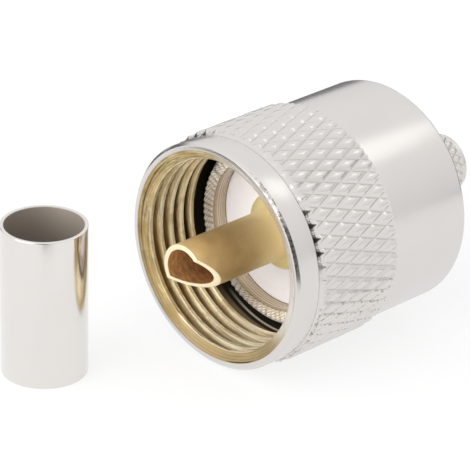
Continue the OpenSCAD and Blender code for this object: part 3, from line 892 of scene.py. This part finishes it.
class CRIMPPLUG_OT_plug_body(bpy.types.Operator):
    """Build the plug body with its serrated nose ring and knurled crimp barrel"""
    bl_idname = "crimp_plug.plug_body"
    bl_label = "Plug body"

    def execute(self, context):
        body = context.scene.crimp_body
        finish = body_finish(shader_groups(), context.scene.crimp_colours, body)
        teeth = {"Teeth": body.teeth, "Depth": body.tooth_depth, "Arc rise": body.tab_rise, "Arc angle": body.tab_angle}
        head = cut(body_head(body), [(made_once("nose_serrations", serration_tree), teeth)], finish)
        blank, front, row = barrel_blank(body)
        knurl = {"Starts": body.barrel_starts, "Axial pitch": 12 * row, "Front": front,
                 "Depth": body.barrel_depth, "Groove share": 0.35,
                 "Point radius": body.barrel_r, "Start radius": body.barrel_r}
        barrel = cut(blank, [(made_once("diamond_knurl", diamond_knurl_tree), knurl)], finish)
        mesh = joined("plug_body_turned", [head, barrel])
        mesh.materials.append(finish)
        made = piece("plug_body_turned", mesh)
        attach(made, "plug")
        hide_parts("plug_body")
        return {"FINISHED"}


class CRIMPPLUG_OT_insulator(bpy.types.Operator):
    """Build the white insulator"""
    bl_idname = "crimp_plug.insulator"
    bl_label = "Insulator"

    def execute(self, context):
        contact, body = context.scene.crimp_contact, context.scene.crimp_body
        edge = 0.04 * MM
        mesh = lathe("insulator_turned", eased([
            (contact.hole_r, contact.face), (contact.head_r, contact.face), (contact.head_r, body.head_rear),
            (contact.neck_r, body.head_rear), (contact.neck_r, body.insulator_rear),
            (contact.hole_r, body.insulator_rear)], edge))
        mesh.materials.append(ptfe_finish(shader_groups(), context.scene.crimp_colours))
        made = piece("insulator_turned", mesh)
        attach(made, "plug")
        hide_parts("insulator")
        return {"FINISHED"}


def contact_mesh(contact, insulator_rear):
    """The hollow pin, its rim cut on a slant, with the disc at its foot."""
    shell = Shell(240)
    slope = 1 / math.tan(contact.cut_angle)
    face, disc_front = contact.face, contact.face - contact.disc_len

    def rim(r, below=0.0):
        """Y of the slanted rim at radius r, a little below it where asked."""
        def at(a):
            toward = r * math.cos(a - contact.cut_turn)
            return max(contact.tip, contact.tip + contact.tip_flat + toward * slope) + below
        return at

    ease = 0.035 * MM
    outer, inner = contact.pin_r, contact.bore_r
    rings = [shell.ring(inner + ease, rim(inner + ease)), shell.ring((inner + outer) / 2, rim((inner + outer) / 2)),
             shell.ring(outer - ease, rim(outer - ease)), shell.ring(outer - 0.3 * ease, rim(outer - 0.3 * ease, 0.3 * ease)),
             shell.ring(outer, rim(outer, ease))]
    for share in (0.25, 0.5, 0.75):
        start = rim(outer, ease)
        rings.append(shell.ring(outer, lambda a, share=share: start(a) + (disc_front - start(a)) * share))
    stem, lip, lip_rear = contact.stem_r, contact.lip_r, insulator_rear + contact.lip_len
    solid = eased([
        (outer, disc_front, 0.05 * MM), (contact.disc_r, disc_front), (contact.disc_r, face), (stem, face),
        (stem, insulator_rear), (lip, insulator_rear), (lip, lip_rear), (stem, lip_rear), (stem, contact.rear),
        (contact.wire_r, contact.rear), (contact.wire_r, contact.hollow_rear),
        (inner, contact.hollow_rear, 0)], 0.03 * MM)
    rings += [shell.ring(r, y) for r, y in solid]
    for share in (0.7, 0.35):
        start = rim(inner, ease)
        rings.append(shell.ring(inner, lambda a, share=share: start(a) + (contact.hollow_rear - start(a)) * share))
    rings.append(shell.ring(inner, rim(inner, ease)))
    for a, b in zip(rings, rings[1:] + rings[:1]):
        shell.strip(a, b)
    return shell.mesh("centre_contact_turned")


class CRIMPPLUG_OT_centre_contact(bpy.types.Operator):
    """Build the hollow brass contact pin"""
    bl_idname = "crimp_plug.centre_contact"
    bl_label = "Centre contact"

    def execute(self, context):
        contact = context.scene.crimp_contact
        mesh = contact_mesh(contact, context.scene.crimp_body.insulator_rear)
        mesh.materials.append(contact_finish(shader_groups(), context.scene.crimp_colours, contact))
        made = piece("centre_contact_turned", mesh)
        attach(made, "plug")
        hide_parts("centre_contact")
        return {"FINISHED"}


class CRIMPPLUG_OT_crimp_ferrule(bpy.types.Operator):
    """Build the loose crimp ferrule, standing on the table"""
    bl_idname = "crimp_plug.crimp_ferrule"
    bl_label = "Crimp ferrule"

    def execute(self, context):
        ferrule = context.scene.crimp_ferrule
        mesh = lathe("crimp_ferrule_turned", eased([
            (ferrule.inner_r, 0), (ferrule.outer_r, 0), (ferrule.outer_r, ferrule.height),
            (ferrule.inner_r, ferrule.height)], ferrule.edge, 4), 256)
        stand = Matrix.Translation((ferrule.x, ferrule.y, TABLE_Z)) @ Matrix.Rotation(math.pi / 2, 4, "X")
        mesh.transform(stand)
        mesh.materials.append(ferrule_finish(shader_groups(), context.scene.crimp_colours, ferrule))
        made = piece("crimp_ferrule_turned", mesh)
        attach(made, "plug")
        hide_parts("crimp_ferrule")
        return {"FINISHED"}


# Stage

def backdrop_material(name, tone):
    """White to the camera and in reflections, and tone where it catches light."""
    material = bpy.data.materials.new(name)
    material.use_nodes = True
    tree = material.node_tree
    shader = tree.nodes["Principled BSDF"]
    shader.inputs["Roughness"].default_value = 0.9
    glow = add(tree, "ShaderNodeEmission", {"Strength": 1.0})
    paths = add(tree, "ShaderNodeLightPath").outputs
    spot = add(tree, "ShaderNodeSeparateXYZ", {0: add(tree, "ShaderNodeTexCoord").outputs["Object"]}).outputs
    behind = ramp(tree, calc(tree, "SUBTRACT", spot["Y"], spot["X"]), 0.05, 0.075)
    ahead = calc(tree, "SUBTRACT", calc(tree, "MULTIPLY", spot["X"], 0.66), calc(tree, "MULTIPLY", spot["Y"], 0.75))
    aside = calc(tree, "ABSOLUTE", calc(tree, "ADD", calc(tree, "MULTIPLY", spot["X"], 0.75), calc(tree, "MULTIPLY", spot["Y"], 0.66)))
    lane = calc(tree, "DIVIDE", aside, calc(tree, "MAXIMUM", ahead, 0.001))
    before = calc(tree, "MULTIPLY", ramp(tree, ahead, 0.04, 0.05), ramp(tree, lane, 0.25, 0.32, 1.0, 0.0))
    far = calc(tree, "MULTIPLY", paths["Is Glossy Ray"], calc(tree, "MAXIMUM", behind, before))
    put(tree, shader.inputs["Base Color"], mixed(tree, far, rgba((tone, tone, tone)), rgba((0.05, 0.05, 0.05))))
    mirrored = calc(tree, "SUBTRACT", paths["Is Glossy Ray"], far)
    seen = calc(tree, "MAXIMUM", calc(tree, "MAXIMUM", paths["Is Camera Ray"], mirrored), paths["Is Transmission Ray"])
    mix = add(tree, "ShaderNodeMixShader", {0: calc(tree, "MULTIPLY", seen, 0.8), 1: shader.outputs[0], 2: glow.outputs[0]})
    tree.links.new(mix.outputs[0], tree.nodes["Material Output"].inputs["Surface"])
    return material


def floor_plane():
    half = 1.5
    mesh = bpy.data.meshes.new("floor")
    mesh.from_pydata([(-half, -half, TABLE_Z), (half, -half, TABLE_Z), (half, half, TABLE_Z), (-half, half, TABLE_Z)],
                     [], [(0, 1, 2, 3)])
    mesh.materials.append(backdrop_material("pale_floor", 0.9))
    made = bpy.data.objects.new("floor", mesh)
    bpy.context.scene.collection.objects.link(made)


def soft_lamp(name, spot, size, power, target=(0, 2 * MM, 0)):
    """A square soft box that faces the plug."""
    data = bpy.data.lights.new(name, "AREA")
    data.shape, data.size, data.energy = "SQUARE", size, power
    made = bpy.data.objects.new(name, data)
    made.location = spot
    made.rotation_mode = "QUATERNION"
    made.rotation_quaternion = (Vector(target) - Vector(spot)).to_track_quat("-Z", "Y")
    bpy.context.scene.collection.objects.link(made)
    return made


def toward(azimuth, elevation, distance):
    """A spot that far from the plug, in degrees from +X towards +Y and up from the table."""
    a, e = math.radians(azimuth), math.radians(elevation)
    return (distance * math.cos(e) * math.cos(a), distance * math.cos(e) * math.sin(a), distance * math.sin(e))


def dark_card(name, spot, radius, tone):
    """A round dark card that faces the plug, as a lens and its hood do in a white tent."""
    mesh = bpy.data.meshes.new(name)
    turn = Vector(spot).to_track_quat("Z", "Y")
    points = [turn @ Vector((radius * math.cos(TURN * k / 48), radius * math.sin(TURN * k / 48), 0)) for k in range(48)]
    mesh.from_pydata([Vector(spot) + p for p in points], [], [list(range(48))])
    material = bpy.data.materials.new(name)
    material.use_nodes = True
    shader = material.node_tree.nodes["Principled BSDF"]
    shader.inputs["Base Color"].default_value = (tone, tone, tone, 1)
    shader.inputs["Roughness"].default_value = 0.9
    mesh.materials.append(material)
    made = bpy.data.objects.new(name, mesh)
    bpy.context.scene.collection.objects.link(made)


def studio_world():
    """White where it is seen or mirrored, and plain soft light everywhere else."""
    world = bpy.data.worlds.new("studio")
    bpy.context.scene.world = world
    world.use_nodes = True
    tree = world.node_tree
    back = tree.nodes["Background"]
    back.inputs["Color"].default_value = (1, 1, 1, 1)
    paths = add(tree, "ShaderNodeLightPath").outputs
    mirrored = calc(tree, "MAXIMUM", paths["Is Glossy Ray"], paths["Is Transmission Ray"])
    way = add(tree, "ShaderNodeSeparateXYZ", {0: add(tree, "ShaderNodeTexCoord").outputs["Object"]}).outputs
    wall = ramp(tree, way["Z"], 0.1, 0.55, 0.88, 1.0)
    fill = ramp(tree, way["Y"], -0.9, -0.2, 2.8, 0.85)
    soft = calc(tree, "MULTIPLY_ADD", mirrored, calc(tree, "SUBTRACT", wall, fill), fill)
    put(tree, back.inputs["Strength"], calc(tree, "MAXIMUM", soft, paths["Is Camera Ray"]))


def photo_camera(stage, nut):
    """The photograph's view: turned round the plug, raised, rolled and aimed."""
    az, el, roll = stage.azimuth, stage.elevation, stage.roll
    back = Vector((math.sin(az) * math.cos(el), -math.cos(az) * math.cos(el), math.sin(el)))
    right = Vector((math.cos(az), math.sin(az), 0))
    up = back.cross(right)
    across = math.cos(roll) * right + math.sin(roll) * up
    upward = -math.sin(roll) * right + math.cos(roll) * up
    target = Vector((0, nut.front, 0)) + across * stage.shift_x + upward * stage.shift_z
    data = bpy.data.cameras.new("photo_camera")
    data.sensor_width = 36.0
    data.lens = data.sensor_width * stage.focal_px / 470
    data.clip_start, data.clip_end = 1 * MM, 10.0
    made = bpy.data.objects.new("photo_camera", data)
    turn = Matrix((across, upward, back)).transposed().to_4x4()
    made.matrix_world = Matrix.Translation(target + back * stage.distance) @ turn
    bpy.context.scene.collection.objects.link(made)
    bpy.context.scene.camera = made


class CRIMPPLUG_OT_stage(bpy.types.Operator):
    """Set the camera, the pale floor and the soft studio light"""
    bl_idname = "crimp_plug.stage"
    bl_label = "Studio"

    def execute(self, context):
        photo_camera(context.scene.crimp_stage, context.scene.crimp_nut)
        floor_plane()
        soft_lamp("back_lamp", toward(73, 46, 0.6), 0.18, 0.05)
        soft_lamp("front_lamp", toward(-92, 12, 0.35), 0.3, 0.8)
        dark_card("camera_hood", toward(-54, 10, 0.7), 0.25, 0.02)
        dark_card("tent_gap", toward(-176, 10, 0.7), 0.12, 0.02)
        studio_world()
        context.scene.view_settings.view_transform = "Standard"
        return {"FINISHED"}


class CRIMPPLUG_PT_panel(bpy.types.Panel):
    """The pieces of the plug, in the order they are built"""
    bl_idname = "CRIMPPLUG_PT_panel"
    bl_label = "Coaxial crimp plug"
    bl_space_type = "VIEW_3D"
    bl_region_type = "UI"
    bl_category = "Crimp plug"

    def draw(self, context):
        for operator in OPERATORS:
            self.layout.operator(operator.bl_idname)


GROUPS = {
    "crimp_nut": NutSizes, "crimp_body": BodySizes, "crimp_contact": ContactSizes,
    "crimp_ferrule": FerruleSizes, "crimp_colours": FinishColours, "crimp_stage": StageSizes,
}
OPERATORS = (
    CRIMPPLUG_OT_stage, CRIMPPLUG_OT_coupling_nut, CRIMPPLUG_OT_plug_body, CRIMPPLUG_OT_insulator,
    CRIMPPLUG_OT_centre_contact, CRIMPPLUG_OT_crimp_ferrule,
)


def register():
    for name, group in GROUPS.items():
        bpy.utils.register_class(group)
        setattr(bpy.types.Scene, name, PointerProperty(type=group))
    for operator in OPERATORS:
        bpy.utils.register_class(operator)
    bpy.utils.register_class(CRIMPPLUG_PT_panel)


def unregister():
    bpy.utils.unregister_class(CRIMPPLUG_PT_panel)
    for operator in reversed(OPERATORS):
        bpy.utils.unregister_class(operator)
    for name, group in GROUPS.items():
        delattr(bpy.types.Scene, name)
        bpy.utils.unregister_class(group)


def main():
    register()
    bpy.ops.crimp_plug.stage()
    bpy.ops.crimp_plug.coupling_nut()
    bpy.ops.crimp_plug.plug_body()
    bpy.ops.crimp_plug.insulator()
    bpy.ops.crimp_plug.centre_contact()
    bpy.ops.crimp_plug.crimp_ferrule()


if __name__ == "__main__":
    main()
